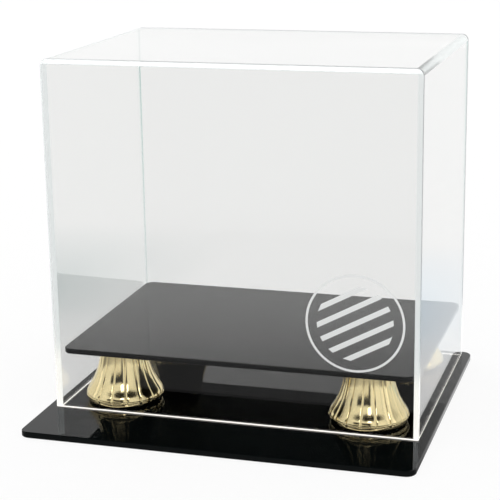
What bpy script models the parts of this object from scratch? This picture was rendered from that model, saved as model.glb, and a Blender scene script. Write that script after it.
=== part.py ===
"""Collectible display case: a clear lift-off cover over a platform on four fluted risers.

Axes: X runs across the case, Y from front to back, Z up. The origin is the centre of the
base plate's underside. All lengths are in metres.
"""

import math

import bmesh
import bpy
from mathutils import Vector

MM = 0.001

# Fits
JOINT_GAP = 0.3 * MM            # space left between two pieces that touch
LOCATING_CLEARANCE = 0.5 * MM   # platform edge to cover wall, on each side

# Clear cover: 1/8 inch acrylic sheet
COVER_WIDTH = 190.0 * MM
COVER_DEPTH = 134.0 * MM
COVER_HEIGHT = 181.0 * MM
COVER_SHEET = 2.8 * MM
BEND_OUTER_RADIUS = 3.4 * MM
BEND_STEPS = 6

# Base plate: the cover stands back from its front edge
SIDE_LIP = 5.0 * MM
FRONT_LIP = 36.5 * MM
BACK_LIP = 5.0 * MM
BASE_THICKNESS = 3.2 * MM
BASE_CORNER_RADIUS = 5.0 * MM
BASE_WIDTH = COVER_WIDTH + 2 * SIDE_LIP
BASE_DEPTH = COVER_DEPTH + FRONT_LIP + BACK_LIP
COVER_Y = (FRONT_LIP - BACK_LIP) / 2

# Platform
PLATFORM_UNDERSIDE = BASE_THICKNESS + 28.8 * MM
PLATFORM_THICKNESS = 2.8 * MM
PLATFORM_CORNER_RADIUS = 5.0 * MM
PLATFORM_WIDTH = COVER_WIDTH - 2 * (COVER_SHEET + LOCATING_CLEARANCE)
PLATFORM_DEPTH = COVER_DEPTH - 2 * (COVER_SHEET + LOCATING_CLEARANCE)

PLATE_CORNER_STEPS = 6
PLATE_EDGE_BEVEL = 0.35 * MM

# Adhesive pads between risers and platform
PAD_THICKNESS = 0.8 * MM
PAD_RADIUS = 9.0 * MM
PAD_SIDES = 24

# Risers: a hollow moulding with a flared, fluted wall and a screw boss
RISER_X = 65.6 * MM
RISER_Y_OFFSET = 43.3 * MM      # from the cover's middle, to the front and to the back
RISER_HEIGHT = 28.8 * MM - PAD_THICKNESS - 3 * JOINT_GAP
RISER_FLUTES = 16
RISER_STEPS_PER_FLUTE = 3
FLUTE_DEPTH = 0.045             # as a share of the radius
RISER_WALL_PROFILE = (          # height above the foot, radius, from the top rim down
    (RISER_HEIGHT, 12.1 * MM),
    (20.5 * MM, 13.2 * MM),
    (14.2 * MM, 15.1 * MM),
    (9.6 * MM, 17.3 * MM),
    (5.6 * MM, 19.6 * MM),
    (3.1 * MM, 20.4 * MM),      # skirt edge
)
RISER_FOOT_RADIUS = 19.4 * MM
RISER_FOOT_CORNER = 0.9 * MM
RISER_FOOT_CORNER_HEIGHT = 0.8 * MM
CAVITY_FOOT_RADIUS = 17.0 * MM
CAVITY_TOP_RADIUS = 9.0 * MM
CAVITY_HEIGHT = 23.0 * MM
BOSS_RADIUS = 4.2 * MM
PILOT_DEPTH = 14.0 * MM

# Riser screws: countersunk, cross recess
SCREW_SHANK_RADIUS = 1.6 * MM
SCREW_HEAD_RADIUS = 3.4 * MM
SCREW_HEAD_HEIGHT = 1.8 * MM
SCREW_RECESS_DEPTH = 0.9 * MM
SCREW_RECESS_REACH = 1.7 * MM
SCREW_RECESS_HALF_WIDTH = 0.4 * MM
SCREW_LENGTH = 15.0 * MM
SCREW_POINT_LENGTH = 2.0 * MM
SCREW_SINK = 0.3 * MM           # head face above the base plate's underside
SCREW_SIDES = 24
CUTTER_OVERSHOOT = 1.0 * MM

CORNERS = {
    "front_left": (-RISER_X, COVER_Y - RISER_Y_OFFSET),
    "front_right": (RISER_X, COVER_Y - RISER_Y_OFFSET),
    "back_left": (-RISER_X, COVER_Y + RISER_Y_OFFSET),
    "back_right": (RISER_X, COVER_Y + RISER_Y_OFFSET),
}


def clear_scene():
    for obj in list(bpy.data.objects):
        bpy.data.objects.remove(obj, do_unlink=True)


def make_material(name, color, roughness, metallic=0.0, transmission=0.0):
    material = bpy.data.materials.new(name)
    material.use_nodes = True
    shader = material.node_tree.nodes["Principled BSDF"]
    shader.inputs["Base Color"].default_value = (*color, 1.0)
    shader.inputs["Roughness"].default_value = roughness
    shader.inputs["Metallic"].default_value = metallic
    shader.inputs["Transmission Weight"].default_value = transmission
    return material


def make_empty(name, location, parent=None):
    empty = bpy.data.objects.new(name, None)
    bpy.context.scene.collection.objects.link(empty)
    empty.location = location
    empty.parent = parent
    return empty


def add_object(name, bm, material, location, parent, smooth_angle=math.radians(35)):
    bmesh.ops.recalc_face_normals(bm, faces=bm.faces)
    mesh = bpy.data.meshes.new(name)
    bm.to_mesh(mesh)
    bm.free()
    mesh.materials.append(material)
    mesh.shade_smooth()
    mesh.set_sharp_from_angle(angle=smooth_angle)
    obj = bpy.data.objects.new(name, mesh)
    bpy.context.scene.collection.objects.link(obj)
    obj.location = location
    obj.parent = parent
    return obj


def arc_points(center, radius, start, end, steps):
    """Points on an arc in a plane, both ends included."""
    return [
        (
            center[0] + radius * math.cos(start + (end - start) * i / steps),
            center[1] + radius * math.sin(start + (end - start) * i / steps),
        )
        for i in range(steps + 1)
    ]


def rounded_rectangle(width, depth, radius, steps):
    """Counter-clockwise outline, centred on the origin."""
    outline = []
    for quarter, (side_x, side_y) in enumerate(((1, 1), (-1, 1), (-1, -1), (1, -1))):
        center = (side_x * (width / 2 - radius), side_y * (depth / 2 - radius))
        start = quarter * math.pi / 2
        outline += arc_points(center, radius, start, start + math.pi / 2, steps)
    return outline


def extrude_face(points, direction):
    """A prism: the polygon through points, swept along direction."""
    bm = bmesh.new()
    face = bm.faces.new([bm.verts.new(point) for point in points])
    swept = bmesh.ops.extrude_face_region(bm, geom=[face])
    moved = [item for item in swept["geom"] if isinstance(item, bmesh.types.BMVert)]
    bmesh.ops.translate(bm, verts=moved, vec=direction)
    return bm


def turned_body(profile, sides, radius_scale=None):
    """A solid turned about Z. The profile's two ends lie on the axis.

    radius_scale(ring index, angle) may vary a ring's radius around the axis.
    """
    bm = bmesh.new()
    rings = []
    for index, (height, radius) in enumerate(profile):
        if radius == 0:
            rings.append([bm.verts.new((0, 0, height))])
            continue
        ring = []
        for i in range(sides):
            angle = 2 * math.pi * i / sides
            scale = radius_scale(index, angle) if radius_scale else 1.0
            ring.append(
                bm.verts.new((radius * scale * math.cos(angle), radius * scale * math.sin(angle), height))
            )
        rings.append(ring)
    for upper, lower in zip(rings, rings[1:]):
        for i in range(sides):
            j = (i + 1) % sides
            corners = [upper[i % len(upper)], upper[j % len(upper)]]
            corners += [lower[j % len(lower)], lower[i % len(lower)]]
            bm.faces.new(list(dict.fromkeys(corners)))
    return bm


def add_edge_bevel(obj):
    bevel = obj.modifiers.new("polished_edge", "BEVEL")
    bevel.width = PLATE_EDGE_BEVEL
    bevel.segments = 1
    bevel.limit_method = "ANGLE"
    bevel.angle_limit = math.radians(60)


def cut(obj, cutter):
    cutter.hide_render = True
    cutter.display_type = "WIRE"
    boolean = obj.modifiers.new(cutter.name, "BOOLEAN")
    boolean.operation = "DIFFERENCE"
    boolean.solver = "EXACT"
    boolean.object = cutter


def make_plate(name, width, depth, thickness, radius, material, location, parent):
    outline = rounded_rectangle(width, depth, radius, PLATE_CORNER_STEPS)
    bm = extrude_face([(x, y, 0) for x, y in outline], Vector((0, 0, thickness)))
    plate = add_object(name, bm, material, location, parent)
    add_edge_bevel(plate)
    return plate


def screw_hole_profile():
    """Clearance hole and countersink, from above the plate down to below it."""
    hole_radius = SCREW_SHANK_RADIUS + JOINT_GAP
    head_radius = SCREW_HEAD_RADIUS + JOINT_GAP
    cone_top = SCREW_SINK + SCREW_HEAD_HEIGHT + JOINT_GAP
    top = BASE_THICKNESS + CUTTER_OVERSHOOT
    return (
        (top, 0),
        (top, hole_radius),
        (cone_top, hole_radius),
        (SCREW_SINK + JOINT_GAP, head_radius),
        (-CUTTER_OVERSHOOT, head_radius),
        (-CUTTER_OVERSHOOT, 0),
    )


def make_base_plate(material, parent):
    plate = make_plate(
        "base_plate", BASE_WIDTH, BASE_DEPTH, BASE_THICKNESS, BASE_CORNER_RADIUS, material, (0, 0, 0), parent
    )
    for corner, (x, y) in CORNERS.items():
        bm = turned_body(screw_hole_profile(), SCREW_SIDES)
        cut(plate, add_object(f"screw_hole_{corner}", bm, material, (x, y, 0), parent))


def make_platform(material, parent):
    location = (0, COVER_Y, PLATFORM_UNDERSIDE)
    make_plate(
        "platform",
        PLATFORM_WIDTH,
        PLATFORM_DEPTH,
        PLATFORM_THICKNESS,
        PLATFORM_CORNER_RADIUS,
        material,
        location,
        parent,
    )


def riser_profile():
    """Outer wall from the top's middle to the foot, then the hollow and the boss."""
    pilot_radius = SCREW_SHANK_RADIUS + JOINT_GAP
    outer = ((RISER_HEIGHT, 0),) + RISER_WALL_PROFILE
    foot = (
        (RISER_FOOT_CORNER_HEIGHT, RISER_FOOT_RADIUS + RISER_FOOT_CORNER),
        (0, RISER_FOOT_RADIUS),
    )
    hollow = ((0, CAVITY_FOOT_RADIUS), (CAVITY_HEIGHT, CAVITY_TOP_RADIUS), (CAVITY_HEIGHT, BOSS_RADIUS))
    boss = ((0, BOSS_RADIUS), (0, pilot_radius), (PILOT_DEPTH, pilot_radius), (PILOT_DEPTH, 0))
    return outer + foot + hollow + boss


def riser_flute_scale(ring_index, angle):
    """Flutes run the height of the wall; the rim, foot and inside are round."""
    if not 1 <= ring_index <= len(RISER_WALL_PROFILE):
        return 1.0
    return 1.0 - FLUTE_DEPTH * (1.0 - abs(math.sin(angle * RISER_FLUTES / 2)))


def make_risers(material, parent):
    sides = RISER_FLUTES * RISER_STEPS_PER_FLUTE
    for corner, (x, y) in CORNERS.items():
        bm = turned_body(riser_profile(), sides, riser_flute_scale)
        add_object(f"riser_{corner}", bm, material, (x, y, BASE_THICKNESS + JOINT_GAP), parent)


def screw_profile():
    """From the point down to the head's face."""
    tip = SCREW_LENGTH
    shoulder = SCREW_LENGTH - SCREW_POINT_LENGTH
    return (
        (tip, 0),
        (shoulder, SCREW_SHANK_RADIUS),
        (SCREW_HEAD_HEIGHT, SCREW_SHANK_RADIUS),
        (0, SCREW_HEAD_RADIUS),
        (0, 0),
    )


def cross_outline(reach, half_width):
    """Twelve-cornered outline of a plus sign."""
    outline = []
    for quarter in range(4):
        cos, sin = round(math.cos(quarter * math.pi / 2)), round(math.sin(quarter * math.pi / 2))
        for along, across in ((half_width, -half_width), (reach, -half_width), (reach, half_width)):
            outline.append((along * cos - across * sin, along * sin + across * cos))
    return outline


def make_screws(material, parent):
    for corner, (x, y) in CORNERS.items():
        location = (x, y, SCREW_SINK)
        screw = add_object(
            f"riser_screw_{corner}", turned_body(screw_profile(), SCREW_SIDES), material, location, parent
        )
        outline = cross_outline(SCREW_RECESS_REACH, SCREW_RECESS_HALF_WIDTH)
        recess = extrude_face(
            [(px, py, -CUTTER_OVERSHOOT) for px, py in outline],
            Vector((0, 0, CUTTER_OVERSHOOT + SCREW_RECESS_DEPTH)),
        )
        cut(screw, add_object(f"screw_recess_{corner}", recess, material, location, parent))


def make_pads(material, parent):
    height = PLATFORM_UNDERSIDE - JOINT_GAP - PAD_THICKNESS
    profile = ((PAD_THICKNESS, 0), (PAD_THICKNESS, PAD_RADIUS), (0, PAD_RADIUS), (0, 0))
    for corner, (x, y) in CORNERS.items():
        add_object(f"riser_pad_{corner}", turned_body(profile, PAD_SIDES), material, (x, y, height), parent)


def bent_path(radius, inset):
    """Left foot, left bend, right bend, right foot of the wrap, seen from the front."""
    side = COVER_WIDTH / 2 - BEND_OUTER_RADIUS
    top = COVER_HEIGHT - BEND_OUTER_RADIUS
    path = [(-(COVER_WIDTH / 2 - inset), 0)]
    path += arc_points((-side, top), radius, math.pi, math.pi / 2, BEND_STEPS)
    path += arc_points((side, top), radius, math.pi / 2, 0, BEND_STEPS)
    path.append((COVER_WIDTH / 2 - inset, 0))
    return path


def make_cover_wrap(material, parent):
    length = COVER_DEPTH - 2 * (COVER_SHEET + JOINT_GAP)
    outer = bent_path(BEND_OUTER_RADIUS, 0)
    inner = bent_path(BEND_OUTER_RADIUS - COVER_SHEET, COVER_SHEET)
    bm = bmesh.new()
    front = []
    back = []
    for verts, y in ((front, -length / 2), (back, length / 2)):
        for path in (outer, inner):
            verts.append([bm.verts.new((x, y, z)) for x, z in path])
    for i in range(len(outer) - 1):
        for a, b in ((front[0], front[1]), (back[1], back[0]), (front[1], back[1]), (back[0], front[0])):
            bm.faces.new((a[i], a[i + 1], b[i + 1], b[i]))
    for i in (0, len(outer) - 1):
        bm.faces.new((front[0][i], front[1][i], back[1][i], back[0][i]))
    add_object("cover_wrap", bm, material, (0, 0, 0), parent)


def make_cover_panel(name, y, material, parent):
    """A flat end panel whose top corners follow the wrap's bends."""
    outline = bent_path(BEND_OUTER_RADIUS, 0)
    bm = extrude_face([(x, 0, z) for x, z in outline], Vector((0, COVER_SHEET, 0)))
    add_object(name, bm, material, (0, y, 0), parent)


def build():
    clear_scene()
    black = make_material("black_acrylic", (0.01, 0.01, 0.012), 0.06)
    gold = make_material("gold_metallised_plastic", (0.86, 0.68, 0.34), 0.12, metallic=1.0)
    clear = make_material("clear_acrylic", (0.95, 0.98, 0.98), 0.02, transmission=1.0)
    steel = make_material("zinc_plated_steel", (0.62, 0.63, 0.65), 0.3, metallic=1.0)
    foam = make_material("adhesive_foam", (0.03, 0.03, 0.03), 0.9)

    base = make_empty("base_frame", (0, 0, 0))
    make_base_plate(black, base)
    make_platform(black, base)
    make_risers(gold, base)
    make_screws(steel, base)
    make_pads(foam, base)

    cover = make_empty("cover_lift_frame", (0, COVER_Y, BASE_THICKNESS + JOINT_GAP), base)
    make_cover_wrap(clear, cover)
    make_cover_panel("cover_front_panel", -COVER_DEPTH / 2, clear, cover)
    make_cover_panel("cover_back_panel", COVER_DEPTH / 2 - COVER_SHEET, clear, cover)


build()
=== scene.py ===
"""Looks of the collectible display case: polished acrylic, gold risers, a frosted mark, a white studio."""

import math

import bmesh
import bpy
from mathutils import Matrix, Vector


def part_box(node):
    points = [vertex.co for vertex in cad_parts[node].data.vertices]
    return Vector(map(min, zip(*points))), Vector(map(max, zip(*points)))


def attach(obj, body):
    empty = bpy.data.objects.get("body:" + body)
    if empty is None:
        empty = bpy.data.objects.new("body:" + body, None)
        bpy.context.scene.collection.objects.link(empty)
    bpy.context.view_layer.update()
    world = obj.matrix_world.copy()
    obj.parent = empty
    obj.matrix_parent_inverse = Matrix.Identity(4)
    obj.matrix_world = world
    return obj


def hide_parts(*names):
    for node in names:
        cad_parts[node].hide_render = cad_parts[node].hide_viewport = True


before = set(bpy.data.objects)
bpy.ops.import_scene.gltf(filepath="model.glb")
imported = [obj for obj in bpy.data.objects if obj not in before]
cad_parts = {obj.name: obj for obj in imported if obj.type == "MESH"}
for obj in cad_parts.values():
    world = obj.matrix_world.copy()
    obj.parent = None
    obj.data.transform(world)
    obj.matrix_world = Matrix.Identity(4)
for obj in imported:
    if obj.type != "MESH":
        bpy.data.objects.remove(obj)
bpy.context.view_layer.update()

MM = 0.001
CORNERS = ("front_left", "front_right", "back_left", "back_right")

# The camera, in the frame's own axes
CAMERA_PLACE = Vector((0.2160, -0.7264, 0.2832))
CAMERA_AZIMUTH = math.radians(16.874)
CAMERA_DOWN = math.radians(14.994)
CAMERA_ROLL = math.radians(-0.893)
CAMERA_LENS = 108.42
CAMERA_SENSOR = 36.0

# The paper under the case. It stops short of the camera and lies just below the base plate.
FLOOR_SIDE = 3.0
FLOOR_FRONT = -1.27
FLOOR_BACK = 4.0
FLOOR_DROP = 0.2 * MM
WHITE = (1.0, 1.0, 1.0)
# Its brightness as seen straight or through clear sheet
PAPER_SEEN = 0.89
# Its brightness as the case mirrors it, painted darker towards the front and darkest just in front of the
# case: place along Y and level
FLOOR_LIGHT = ((-0.50, 0.40), (-0.26, 0.38), (-0.16, 0.13), (-0.07, 0.13), (0.0, 0.88))
# Its painted shade, grey-green on the left and blue on the right, on all but the direct view, across X
# from one side of the range to the other
PAINTED_SHADE_RANGE_X = (-0.2, 0.2)
FLOOR_PAINTED_SHADE = (
    (0.0, (0.66, 0.72, 0.72)),
    (0.24, WHITE),
    (0.72, WHITE),
    (0.88, (0.72, 0.87, 0.99)),
)
# How much of that painted shade it takes, from the middle of the case back along Y
PAINTED_SHADE_RANGE_Y = (0.0, 0.4)
PAINTED_SHADE_AMOUNT = ((0.12, 0.0), (0.32, 1.0), (0.42, 1.0), (0.84, 0.0))

# Clear sheet
SEAM = 0.01 * MM
BEND_RADIUS = 3.4 * MM
BEND_STEPS = 14
SHEET_BEVEL = 0.08 * MM
ACRYLIC_IOR = 1.49
BLACK_IOR = 1.36  # lower than the sheet's real one, to keep the plates as dark as the photo's
FILLED_SEAM_IOR = 1.03
# Material slots of a cover piece; 0 is the clear sheet, 1 the sawn lower edge. Every slot from 1 on
# carries a painted glow
LOWER_FACE, CEMENTED, BENT, EDGE, BACK_SEAM = 1, 2, 3, 4, 5

# Black plates
PLATE_CORNER_STEPS = 20
PLATE_EDGE = 0.6 * MM
PLATE_EDGE_STEPS = 4
PLATFORM_CORNER = 5.0 * MM

# Risers
FLUTES = 16
STEPS_PER_FLUTE = 16
WALL_STEPS = 6
RISER_CREASE = math.radians(50)
LOBE_BULGE = 0.010
GROOVE_DEPTH = 0.018
GROOVE_SHARE = 0.16


# ---------------------------------------------------------------- node helpers


def new_material(name):
    material = bpy.data.materials.new(name)
    material.use_nodes = True
    return material, material.node_tree, material.node_tree.nodes["Principled BSDF"]


def add_node(tree, kind, inputs=None, **settings):
    node = tree.nodes.new(kind)
    for key, value in settings.items():
        setattr(node, key, value)
    for key, value in (inputs or {}).items():
        if hasattr(value, "links"):
            tree.links.new(value, node.inputs[key])
        else:
            node.inputs[key].default_value = value
    return node


def ramp(tree, factor, stops):
    node = add_node(tree, "ShaderNodeValToRGB", {"Fac": factor})
    elements = node.color_ramp.elements
    while len(elements) < len(stops):
        elements.new(0.5)
    for element, (position, value) in zip(elements, stops):
        element.position = position
        element.color = (value, value, value, 1.0) if isinstance(value, float) else (*value, 1.0)
    return node.outputs["Color"]


def map_range(tree, value, source, target=(0.0, 1.0), **settings):
    """The value carried from one range to another; a target may be a node's output."""
    inputs = {"Value": value, "From Min": source[0], "From Max": source[1]}
    inputs.update({"To Min": target[0], "To Max": target[1]})
    return add_node(tree, "ShaderNodeMapRange", inputs, **settings).outputs["Result"]


def smooth_range(tree, value, source, target):
    return map_range(tree, value, source, target, interpolation_type="SMOOTHSTEP")


def math_node(tree, operation, *values):
    node = add_node(tree, "ShaderNodeMath", dict(enumerate(values)), operation=operation)
    return node.outputs[0]


def unmirrored(tree):
    """1 where light comes straight or through clear sheet, 0 after any mirroring."""
    mirrorings = add_node(tree, "ShaderNodeLightPath").outputs["Glossy Depth"]
    return math_node(tree, "LESS_THAN", mirrorings, 0.5)


# ---------------------------------------------------------------- materials


def clear_acrylic():
    """Polished sheet: clear through its faces, pale blue-green along its length."""
    material, tree, shader = new_material("clear_acrylic")
    shader.inputs["Base Color"].default_value = (0.945, 0.946, 0.941, 1.0)
    shader.inputs["Transmission Weight"].default_value = 1.0
    shader.inputs["IOR"].default_value = ACRYLIC_IOR
    shader.inputs["Roughness"].default_value = 0.0
    absorption = add_node(
        tree, "ShaderNodeVolumeAbsorption", {"Color": (0.45, 0.75, 0.70, 1.0), "Density": 1.0}
    )
    tree.links.new(absorption.outputs["Volume"], tree.nodes["Material Output"].inputs["Volume"])
    return material


def soft_sheet(name, color, roughness, glow, ior=ACRYLIC_IOR):
    """Sheet whose surface scatters a little and carries a faint painted glow: a cemented seam or a heated
    bend.
    """
    material, _, shader = new_material(name)
    shader.inputs["Base Color"].default_value = (*color, 1.0)
    shader.inputs["Transmission Weight"].default_value = 1.0
    shader.inputs["IOR"].default_value = ior
    shader.inputs["Roughness"].default_value = roughness
    # Painted glow: the sheet shines faintly without any lamp.
    shader.inputs["Emission Color"].default_value = (*color, 1.0)
    shader.inputs["Emission Strength"].default_value = glow
    material.cycles.emission_sampling = "NONE"
    return material


def sawn_edge_painted_glow():
    """The cover's lower edges: sawn and sanded, with a painted glow for the light they would scatter out
    of the sheet.
    """
    material, _, shader = new_material("sanded_edge_painted_glow")
    shader.inputs["Base Color"].default_value = (0.97, 0.97, 0.95, 1.0)
    shader.inputs["Roughness"].default_value = 0.6
    # Painted glow: the sanded edge shines white without any lamp.
    shader.inputs["Emission Color"].default_value = (1.0, 0.96, 0.9, 1.0)
    shader.inputs["Emission Strength"].default_value = 1.0
    material.cycles.emission_sampling = "NONE"
    return material


def black_acrylic():
    material, tree, shader = new_material("black_acrylic")
    shader.inputs["Base Color"].default_value = (0.002, 0.003, 0.003, 1.0)
    noise = add_node(tree, "ShaderNodeTexNoise", {"Scale": 60.0, "Detail": 6.0, "Roughness": 0.7})
    wear = ramp(tree, noise.outputs["Fac"], ((0.35, 0.015), (0.75, 0.06)))
    tree.links.new(wear, shader.inputs["Roughness"])
    shader.inputs["IOR"].default_value = BLACK_IOR
    return material


def satin_underside():
    """The platform's lower face keeps the sheet's matt side, so it hardly mirrors the base."""
    material, _, shader = new_material("satin_underside")
    shader.inputs["Base Color"].default_value = (0.004, 0.005, 0.005, 1.0)
    shader.inputs["Roughness"].default_value = 0.5
    shader.inputs["Specular IOR Level"].default_value = 0.15
    return material


def gold_plastic():
    material, tree, shader = new_material("gold_metallised_plastic")
    peel = add_node(tree, "ShaderNodeTexNoise", {"Scale": 260.0, "Detail": 2.0}).outputs["Fac"]
    bump = add_node(tree, "ShaderNodeBump", {"Height": peel, "Distance": 0.00001}).outputs["Normal"]
    tree.links.new(bump, shader.inputs["Normal"])
    shader.inputs["Base Color"].default_value = (0.90, 0.76, 0.43, 1.0)
    shader.inputs["Metallic"].default_value = 1.0
    shader.inputs["Roughness"].default_value = 0.05
    return material


def frosted_etch():
    material, tree, shader = new_material("frosted_etch")
    grain = add_node(tree, "ShaderNodeTexNoise", {"Scale": 4000.0, "Detail": 3.0}).outputs["Fac"]
    shade = ramp(tree, grain, ((0.3, (0.66, 0.68, 0.68)), (0.7, (0.90, 0.90, 0.89))))
    tree.links.new(shade, shader.inputs["Base Color"])
    shader.inputs["Roughness"].default_value = 0.7
    return material


def zinc_steel():
    material, tree, shader = new_material("zinc_plated_steel")
    shader.inputs["Base Color"].default_value = (0.62, 0.63, 0.65, 1.0)
    shader.inputs["Metallic"].default_value = 1.0
    spangle = add_node(tree, "ShaderNodeTexVoronoi", {"Scale": 900.0}).outputs["Distance"]
    tree.links.new(ramp(tree, spangle, ((0.0, 0.22), (1.0, 0.42))), shader.inputs["Roughness"])
    return material


def adhesive_foam():
    material, tree, shader = new_material("adhesive_foam")
    cells = add_node(tree, "ShaderNodeTexVoronoi", {"Scale": 2500.0}).outputs["Distance"]
    shade = ramp(tree, cells, ((0.0, 0.012), (0.8, 0.045)))
    tree.links.new(shade, shader.inputs["Base Color"])
    shader.inputs["Roughness"].default_value = 0.9
    return material


# ---------------------------------------------------------------- mesh helpers


def add_piece(name, bm, materials, body, node=None, smooth_angle=math.radians(30)):
    bmesh.ops.recalc_face_normals(bm, faces=bm.faces)
    mesh = bpy.data.meshes.new(name)
    bm.to_mesh(mesh)
    bm.free()
    for material in materials:
        mesh.materials.append(material)
    mesh.shade_smooth()
    mesh.set_sharp_from_angle(angle=smooth_angle)
    piece = bpy.data.objects.new(name, mesh)
    bpy.context.scene.collection.objects.link(piece)
    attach(piece, body)
    if node:
        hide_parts(node)
    return piece


def arc_points(center, radius, start, end, steps):
    return [
        (
            center[0] + radius * math.cos(start + (end - start) * i / steps),
            center[1] + radius * math.sin(start + (end - start) * i / steps),
        )
        for i in range(steps + 1)
    ]


def extrude_face(points, direction):
    bm = bmesh.new()
    face = bm.faces.new([bm.verts.new(point) for point in points])
    swept = bmesh.ops.extrude_face_region(bm, geom=[face])
    moved = [item for item in swept["geom"] if isinstance(item, bmesh.types.BMVert)]
    bmesh.ops.translate(bm, verts=moved, vec=direction)
    return bm


def bevel_edges(piece, width, segments):
    bevel = piece.modifiers.new("polished_edges", "BEVEL")
    bevel.width = width
    bevel.segments = segments
    bevel.limit_method = "ANGLE"
    bevel.angle_limit = math.radians(60)
    bevel.harden_normals = True


# ---------------------------------------------------------------- clear cover


def bent_path(low, high, radius, inset):
    """Outline of the bent sheet seen from the front: up the left, over the top, down the right."""
    bottom, top = low.z, high.z - BEND_RADIUS
    left, right = low.x + BEND_RADIUS, high.x - BEND_RADIUS
    path = [(low.x + inset, bottom)]
    path += arc_points((left, top), radius, math.pi, math.pi / 2, BEND_STEPS)
    path += arc_points((right, top), radius, math.pi / 2, 0, BEND_STEPS)
    path.append((high.x - inset, bottom))
    return path


def mark_lower_faces(bm, bottom):
    for face in bm.faces:
        if all(abs(vert.co.z - bottom) < SEAM for vert in face.verts):
            face.material_index = LOWER_FACE


def clear_wrap(materials):
    low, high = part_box("cover_wrap")
    panel_low, panel_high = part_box("cover_front_panel")
    sheet = panel_high.y - panel_low.y
    front_y = panel_high.y + SEAM
    back_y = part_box("cover_back_panel")[0].y - SEAM
    outer = bent_path(low, high, BEND_RADIUS, 0)
    inner = bent_path(low, high, BEND_RADIUS - sheet, sheet)
    bm = bmesh.new()
    front, back = (
        [[bm.verts.new((x, y, z)) for x, z in path] for path in (outer, inner)]
        for y in (front_y, back_y)
    )
    flats = (0, BEND_STEPS + 1, 2 * BEND_STEPS + 2)
    for i in range(len(outer) - 1):
        for (a, b), seam in (((front[0], front[1]), CEMENTED), ((back[1], back[0]), BACK_SEAM)):
            bm.faces.new((a[i], a[i + 1], b[i + 1], b[i])).material_index = seam
        for a, b in ((front[1], back[1]), (back[0], front[0])):
            bm.faces.new((a[i], a[i + 1], b[i + 1], b[i])).material_index = 0 if i in flats else BENT
    for i in (0, len(outer) - 1):
        bm.faces.new((front[0][i], front[1][i], back[1][i], back[0][i]))
    mark_lower_faces(bm, low.z)
    add_piece("clear_wrap", bm, materials, "cover", "cover_wrap")


def clear_panel(node, materials):
    low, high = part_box(node)
    outline = bent_path(low, high, BEND_RADIUS, 0)
    bm = extrude_face([(x, low.y, z) for x, z in outline], Vector((0, high.y - low.y, 0)))
    for face in bm.faces:
        places = [vert.co.y for vert in face.verts]
        if max(places) - min(places) > SEAM:
            face.material_index = EDGE
    mark_lower_faces(bm, low.z)
    piece = add_piece(node.replace("cover", "clear"), bm, materials, "cover", node)
    bevel_edges(piece, SHEET_BEVEL, 2)


# ---------------------------------------------------------------- black plates


def rounded_rectangle(low, high, radius):
    outline = []
    corners = (
        (high.x - radius, high.y - radius),
        (low.x + radius, high.y - radius),
        (low.x + radius, low.y + radius),
        (high.x - radius, low.y + radius),
    )
    for quarter, center in enumerate(corners):
        start = quarter * math.pi / 2
        outline += arc_points(center, radius, start, start + math.pi / 2, PLATE_CORNER_STEPS)
    return outline


def black_plate(name, node, radius, materials):
    low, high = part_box(node)
    outline = rounded_rectangle(low, high, radius)
    bm = extrude_face([(x, y, low.z) for x, y in outline], Vector((0, 0, high.z - low.z)))
    mark_lower_faces(bm, low.z)
    piece = add_piece(name, bm, materials, "base", node)
    bevel_edges(piece, PLATE_EDGE, PLATE_EDGE_STEPS)


# ---------------------------------------------------------------- etched emblem

# Plain stripes in a ring, lightly etched into the front panel's outer face
EMBLEM_CENTER = (63.4 * MM, 60.6 * MM)
EMBLEM_TILT = math.radians(28)
EMBLEM_RELIEF = 0.05 * MM
RING_RADIUS = 24.6 * MM
RING_LINE = 1.15 * MM
RING_STEPS = 96
STRIPES = 5
STRIPE_PITCH = 7.2 * MM
STRIPE_WIDTH = 2.6 * MM
STRIPE_FIELD = 19.0 * MM  # radius that the stripes' ends keep to


def emblem_shapes():
    """Convex outlines, measured along the stripes and across them from the emblem's middle."""
    outer = arc_points((0, 0), RING_RADIUS, 0, 2 * math.pi, RING_STEPS)
    inner = arc_points((0, 0), RING_RADIUS - RING_LINE, 0, 2 * math.pi, RING_STEPS)
    shapes = list(zip(outer, outer[1:], inner[1:], inner))
    for i in range(STRIPES):
        middle = (i - (STRIPES - 1) / 2) * STRIPE_PITCH
        low, high = middle - STRIPE_WIDTH / 2, middle + STRIPE_WIDTH / 2
        at_low, at_high = (math.sqrt(STRIPE_FIELD**2 - v**2) for v in (low, high))
        shapes.append(((-at_low, low), (at_low, low), (at_high, high), (-at_high, high)))
    return shapes


def etched_emblem(material):
    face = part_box("cover_front_panel")[0].y
    cos, sin = math.cos(EMBLEM_TILT), math.sin(EMBLEM_TILT)
    bm = bmesh.new()
    for shape in emblem_shapes():
        layers = []
        for y in (face - SEAM / 5, face - EMBLEM_RELIEF):
            ring = []
            for u, v in shape:
                x = EMBLEM_CENTER[0] + u * cos - v * sin
                z = EMBLEM_CENTER[1] + u * sin + v * cos
                ring.append(bm.verts.new((x, y, z)))
            layers.append(ring)
        for ring in layers:
            bm.faces.new(ring)
        count = len(shape)
        for i in range(count):
            j = (i + 1) % count
            bm.faces.new((layers[0][i], layers[0][j], layers[1][j], layers[1][i]))
    add_piece("etched_emblem", bm, [material], "cover")


# ---------------------------------------------------------------- risers

# Height above the foot and radius in millimetres, from the top rim down to the skirt's edge
RISER_HEIGHT = 27.1
RISER_STATIONS = (
    (RISER_HEIGHT, 12.1),
    (20.5, 13.2),
    (14.2, 15.1),
    (9.6, 17.3),
    (5.8, 19.6),
    (4.0, 20.3),
)
# The rolled bead above the foot ring: its middle's height and radius, and its own radius
BEAD_HEIGHT = 3.3 * MM
BEAD_REACH = 19.9 * MM
BEAD_RADIUS = 0.55 * MM


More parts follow.
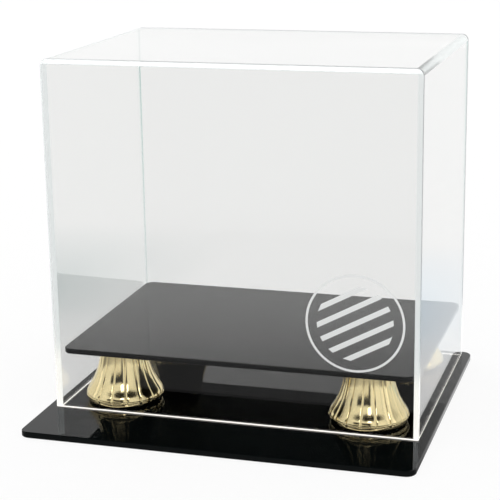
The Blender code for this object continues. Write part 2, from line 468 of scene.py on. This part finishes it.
def catmull_rom(points, steps):
    """A smooth curve through the points."""
    padded = [points[0]] + list(points) + [points[-1]]
    curve = []
    for a, b, c, d in zip(padded, padded[1:], padded[2:], padded[3:]):
        for i in range(steps):
            t = i / steps
            curve.append(
                tuple(
                    0.5
                    * (
                        2 * q
                        + (r - p) * t
                        + (2 * p - 5 * q + 4 * r - s) * t * t
                        + (3 * q - p - 3 * r + s) * t**3
                    )
                    for p, q, r, s in zip(a, b, c, d)
                )
            )
    curve.append(points[-1])
    return curve


def riser_outline():
    """Height, radius and flute strength down the moulding: flared wall, rolled bead, foot ring."""
    wall = [(z * MM, r * MM, 1.0) for z, r in catmull_rom(RISER_STATIONS, WALL_STEPS)]
    top = [(RISER_HEIGHT * MM, r * MM, 1.0) for r in (0, 9.0, 11.6)]
    bead = []
    for i in range(9):
        angle = math.radians(60 - 20 * i)
        height = BEAD_HEIGHT + BEAD_RADIUS * math.sin(angle)
        bead.append((height, BEAD_REACH + BEAD_RADIUS * math.cos(angle), 0.6))
    foot = [
        (2.6 * MM, 19.6 * MM, 0.3),
        (1.6 * MM, 19.75 * MM, 0.0),
        (0.8 * MM, 19.6 * MM, 0.0),
        (0.25 * MM, 19.2 * MM, 0.0),
        (0.0, 18.6 * MM, 0.0),
    ]
    inside = [
        (0.0, 17.0 * MM, 0.0),
        (23.0 * MM, 9.0 * MM, 0.0),
        (23.0 * MM, 4.2 * MM, 0.0),
        (0.0, 4.2 * MM, 0.0),
        (0.0, 1.9 * MM, 0.0),
        (14.0 * MM, 1.9 * MM, 0.0),
        (14.0 * MM, 0.0, 0.0),
    ]
    return top + wall + bead + foot + inside


def flute(angle):
    """How far the wall falls back, as a share of its radius: low broad lobes between fine grooves."""
    across = abs(2 * ((angle * FLUTES / (2 * math.pi)) % 1.0) - 1.0)
    groove = max(0.0, (across - 1.0 + GROOVE_SHARE) / GROOVE_SHARE)
    return LOBE_BULGE * across**2 + GROOVE_DEPTH * groove**2


def gold_riser(corner, material):
    node = f"riser_{corner}"
    low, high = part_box(node)
    center = Vector(((low.x + high.x) / 2, (low.y + high.y) / 2, low.z))
    sides = FLUTES * STEPS_PER_FLUTE
    bm = bmesh.new()
    rings = []
    for height, radius, strength in riser_outline():
        if radius == 0:
            rings.append([bm.verts.new(center + Vector((0, 0, height)))])
            continue
        ring = []
        for i in range(sides):
            angle = 2 * math.pi * i / sides
            reach = radius * (1.0 - strength * flute(angle))
            offset = Vector((reach * math.cos(angle), reach * math.sin(angle), height))
            ring.append(bm.verts.new(center + offset))
        rings.append(ring)
    for upper, lower in zip(rings, rings[1:]):
        for i in range(sides):
            j = (i + 1) % sides
            corners = [upper[i % len(upper)], upper[j % len(upper)]]
            corners += [lower[j % len(lower)], lower[i % len(lower)]]
            bm.faces.new(list(dict.fromkeys(corners)))
    add_piece(f"gold_{node}", bm, [material], "base", node, RISER_CREASE)


# ---------------------------------------------------------------- studio


def make_camera():
    forward = Vector(
        (
            -math.sin(CAMERA_AZIMUTH) * math.cos(CAMERA_DOWN),
            math.cos(CAMERA_AZIMUTH) * math.cos(CAMERA_DOWN),
            -math.sin(CAMERA_DOWN),
        )
    )
    level = Vector((math.cos(CAMERA_AZIMUTH), math.sin(CAMERA_AZIMUTH), 0))
    up = level.cross(forward)
    right = level * math.cos(CAMERA_ROLL) + up * math.sin(CAMERA_ROLL)
    up = up * math.cos(CAMERA_ROLL) - level * math.sin(CAMERA_ROLL)
    data = bpy.data.cameras.new("camera")
    data.lens = CAMERA_LENS
    data.sensor_width = CAMERA_SENSOR
    camera = bpy.data.objects.new("camera", data)
    axes = Matrix((right, up, -forward)).transposed()
    camera.matrix_world = Matrix.Translation(CAMERA_PLACE) @ axes.to_4x4()
    bpy.context.scene.collection.objects.link(camera)
    bpy.context.scene.camera = camera


def paper_material():
    """White as seen; as the case mirrors it, painted shade darkens it towards the front, and off the
    direct view a painted grey-green to blue shade lies on it behind the case.
    """
    material, tree, shader = new_material("white_paper")
    place = add_node(tree, "ShaderNodeNewGeometry").outputs["Position"]
    parts = add_node(tree, "ShaderNodeSeparateXYZ", {"Vector": place})
    x, y = parts.outputs["X"], parts.outputs["Y"]

    # Painted shade: the floor as mirrored is darker towards the front.
    first, last = FLOOR_LIGHT[0][0], FLOOR_LIGHT[-1][0]
    stops = [((place_y - first) / (last - first), level) for place_y, level in FLOOR_LIGHT]
    mirrored = ramp(tree, map_range(tree, y, (first, last)), stops)
    levels = {"Factor": unmirrored(tree), "A": mirrored, "B": PAPER_SEEN}
    brightness = add_node(tree, "ShaderNodeMix", levels).outputs["Result"]

    # Painted shade: grey-green to blue, behind the case, on all but the direct view.
    painted_shade = ramp(tree, map_range(tree, x, PAINTED_SHADE_RANGE_X), FLOOR_PAINTED_SHADE)
    painted_shade_amount = ramp(tree, map_range(tree, y, PAINTED_SHADE_RANGE_Y), PAINTED_SHADE_AMOUNT)
    seen = add_node(tree, "ShaderNodeLightPath").outputs["Is Camera Ray"]
    painted_shade_amount = math_node(tree, "MULTIPLY", painted_shade_amount, math_node(tree, "SUBTRACT", 1.0, seen))
    colors = {"Fac": painted_shade_amount, "Color1": (*WHITE, 1.0), "Color2": painted_shade}
    glow = add_node(tree, "ShaderNodeMixRGB", colors).outputs["Color"]

    shader.inputs["Base Color"].default_value = (0.1, 0.1, 0.1, 1.0)
    shader.inputs["Roughness"].default_value = 0.9
    shader.inputs["Specular IOR Level"].default_value = 0.1
    tree.links.new(glow, shader.inputs["Emission Color"])
    tree.links.new(brightness, shader.inputs["Emission Strength"])
    return material


def make_floor():
    bm = bmesh.new()
    corners = (
        (-FLOOR_SIDE, FLOOR_FRONT),
        (FLOOR_SIDE, FLOOR_FRONT),
        (FLOOR_SIDE, FLOOR_BACK),
        (-FLOOR_SIDE, FLOOR_BACK),
    )
    bm.faces.new([bm.verts.new((x, y, -FLOOR_DROP)) for x, y in corners])
    mesh = bpy.data.meshes.new("floor")
    bm.to_mesh(mesh)
    bm.free()
    mesh.materials.append(paper_material())
    floor = bpy.data.objects.new("floor", mesh)
    bpy.context.scene.collection.objects.link(floor)


def softbox(tree, azimuth, elevation, facing, rising, softness):
    """1 inside a rectangle of directions, fading over softness degrees at its edges."""
    inside = []
    for angle, (low, high) in ((azimuth, facing), (elevation, rising)):
        for edge, start, end in ((low, 0.0, 1.0), (high, 1.0, 0.0)):
            edges = (edge - softness, edge + softness)
            inside.append(smooth_range(tree, angle, edges, (start, end)))
    product = inside[0]
    for factor in inside[1:]:
        product = math_node(tree, "MULTIPLY", product, factor)
    return product


# Brightness, then azimuth, elevation and softness in degrees. Azimuth 0 is -Y, the front, and
# grows towards +X. The wide, high one hangs overhead; the last one is the risers' highlight.
SOFTBOXES = (
    (1.05, (-90, 11), (26, 38), 2),
    (0.90, (-90, 11), (-4, 12), 3),
    (0.95, (-90, -32), (12, 26), 3),
    (1.05, (22, 90), (-4, 38), 2),
    (4.5, (-32, -6), (-14, -7.3), 0.3),
    (1.8, (-200, 200), (82, 100), 4),
    (8.0, (10, 23), (31, 38), 2),
)
# The backdrop's brightness below and above an edge, in degrees of elevation
BACKDROP_LOW = 1.0
BACKDROP_HIGH = 0.78
BACKDROP_EDGE = (17.5, 20.5)
# The dark room in front, and where along Y it turns into the backdrop
ROOM = 0.04
ROOM_EDGE = (-0.35, 0.25)
# The surroundings as seen straight or through clear sheet
BACKGROUND_SEEN = 0.99


def make_world():
    world = bpy.data.worlds.new("studio")
    world.use_nodes = True
    tree = world.node_tree
    direction = add_node(tree, "ShaderNodeTexCoord").outputs["Generated"]
    parts = add_node(tree, "ShaderNodeSeparateXYZ", {"Vector": direction})
    x, y, z = parts.outputs["X"], parts.outputs["Y"], parts.outputs["Z"]
    toward_front = math_node(tree, "MULTIPLY", y, -1.0)
    azimuth = math_node(tree, "DEGREES", math_node(tree, "ARCTAN2", x, toward_front))
    elevation = math_node(tree, "DEGREES", math_node(tree, "ARCSINE", z))
    backdrop = smooth_range(tree, elevation, BACKDROP_EDGE, (BACKDROP_LOW, BACKDROP_HIGH))
    light = smooth_range(tree, y, ROOM_EDGE, (ROOM, backdrop))
    for brightness, facing, rising, softness in SOFTBOXES:
        box = softbox(tree, azimuth, elevation, facing, rising, softness)
        light = math_node(tree, "ADD", light, math_node(tree, "MULTIPLY", box, brightness))
    levels = {"Factor": unmirrored(tree), "A": light, "B": BACKGROUND_SEEN}
    strength = add_node(tree, "ShaderNodeMix", levels).outputs["Result"]
    background = tree.nodes["Background"]
    background.inputs["Color"].default_value = (*WHITE, 1.0)
    tree.links.new(strength, background.inputs["Strength"])
    bpy.context.scene.world = world


def set_light_paths():
    """Light runs a long way inside the clear sheet before it leaves an edge."""
    cycles = bpy.context.scene.cycles
    cycles.max_bounces = 40
    cycles.glossy_bounces = 32
    cycles.transmission_bounces = 32
    cycles.diffuse_bounces = 4
    bpy.context.scene.view_settings.view_transform = "Standard"


# ---------------------------------------------------------------- assembly


def assign(node, material):
    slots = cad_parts[node].data.materials
    slots.clear()
    slots.append(material)


make_camera()
make_floor()
make_world()
set_light_paths()

# The fourth argument of each is the strength of its painted glow.
cemented = soft_sheet("cemented_seam", (0.90, 0.94, 0.945), 0.35, 0.04)
back_seam = soft_sheet("filled_back_seam", (0.95, 0.97, 0.97), 0.1, 0.03, FILLED_SEAM_IOR)
edge = soft_sheet("panel_edge", (0.90, 0.93, 0.95), 0.25, 0.20)
bent = soft_sheet("heated_bend", (0.90, 0.94, 0.93), 0.3, 0.10)
sheet_materials = [clear_acrylic(), sawn_edge_painted_glow(), cemented, bent, edge, back_seam]
clear_wrap(sheet_materials)
clear_panel("cover_front_panel", sheet_materials)
clear_panel("cover_back_panel", sheet_materials)
etched_emblem(frosted_etch())

black_materials = [black_acrylic(), satin_underside()]
assign("base_plate", black_materials[0])
bevel_edges(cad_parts["base_plate"], PLATE_EDGE, PLATE_EDGE_STEPS)
black_plate("black_platform", "platform", PLATFORM_CORNER, black_materials)

gold = gold_plastic()
steel = zinc_steel()
foam = adhesive_foam()
for corner in CORNERS:
    gold_riser(corner, gold)
    assign(f"riser_screw_{corner}", steel)
    assign(f"riser_pad_{corner}", foam)
